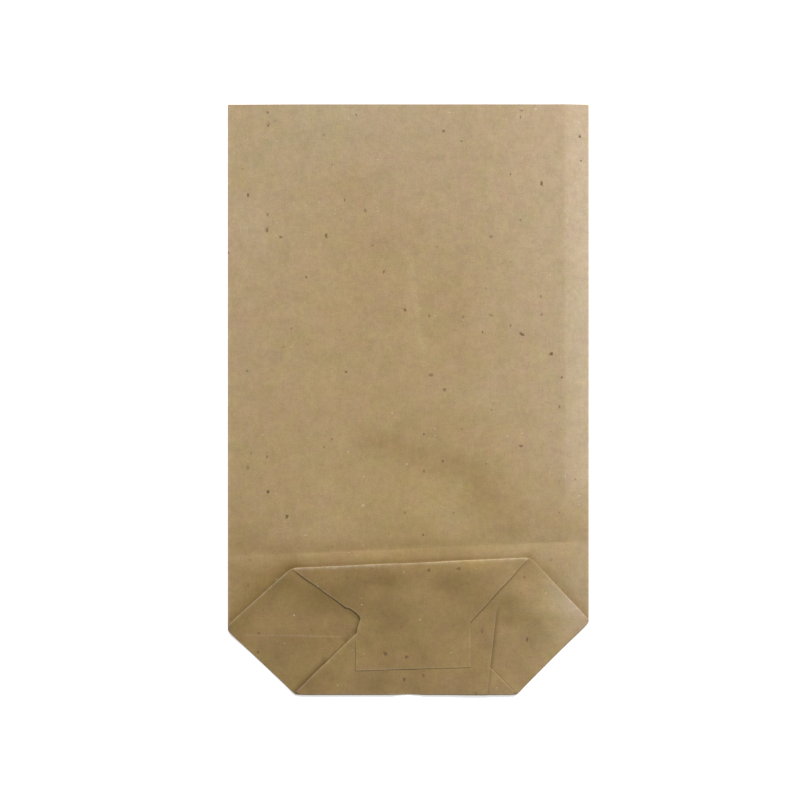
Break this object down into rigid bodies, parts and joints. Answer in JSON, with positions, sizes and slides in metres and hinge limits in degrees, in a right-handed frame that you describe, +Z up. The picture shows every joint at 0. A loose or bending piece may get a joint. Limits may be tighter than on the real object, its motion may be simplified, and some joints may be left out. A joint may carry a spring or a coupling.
{
  "type": "paper lunch bag",
  "caption": "Flat-folded brown kraft paper bag with a cross bottom folded up onto its front, a lengthwise pasted seam in its back and a straight-cut mouth.",
  "frame": {"origin": "middle of the bag's footprint, at the surface that its back lies on", "axes": "+X across the bag to the right seen from the front, +Y from the folded bottom to the mouth, +Z up out of the front"},
  "size_m": [0.165, 0.27, 0.0017],
  "materials": {
    "kraft_paper": "matte, speckled"
  },
  "bodies": {
    "root": {"paper_bag": "kraft_paper"}
  },
  "joints": []
}
